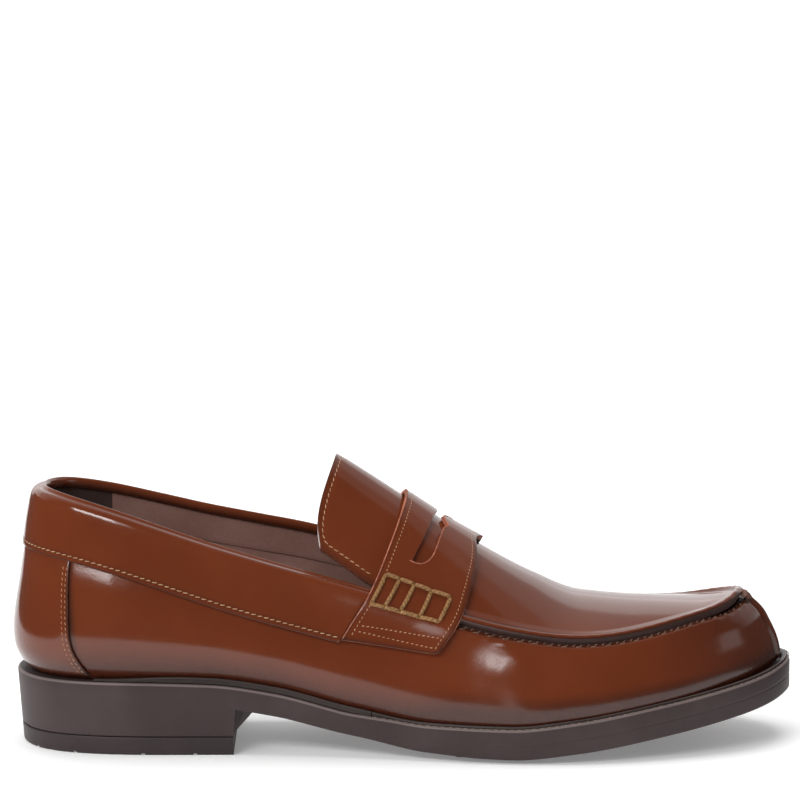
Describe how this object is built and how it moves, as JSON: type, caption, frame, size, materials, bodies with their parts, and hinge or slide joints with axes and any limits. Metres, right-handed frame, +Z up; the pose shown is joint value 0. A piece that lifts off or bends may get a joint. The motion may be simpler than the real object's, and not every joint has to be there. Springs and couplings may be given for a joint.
{
  "type": "penny loafer shoe",
  "caption": "Slip-on leather loafer for a right foot with a slotted saddle strap, rolled moccasin seam, padded collar and heeled rubber sole.",
  "frame": {"origin": "on the floor below the middle of the sole's outline", "axes": "+X from heel to toe, +Y towards the inner (medial) side, +Z up"},
  "size_m": [0.2997, 0.101, 0.1106],
  "materials": {
    "polished_leather": "smooth polished leather, burnished darker at toe and edges",
    "lining_leather": "matt lining leather",
    "sole_rubber": "satin moulded rubber",
    "welt_rubber": "satin moulded rubber with a stitched top"
  },
  "bodies": {
    "root": {"outsole": "sole_rubber", "heel_top_lift": "sole_rubber", "welt": "welt_rubber", "rand_lateral": "welt_rubber", "rand_medial": "welt_rubber", "insole": "lining_leather", "upper": "polished_leather", "counter": "polished_leather", "collar_band": "polished_leather", "tongue": "polished_leather", "strap": "polished_leather"}
  },
  "joints": []
}
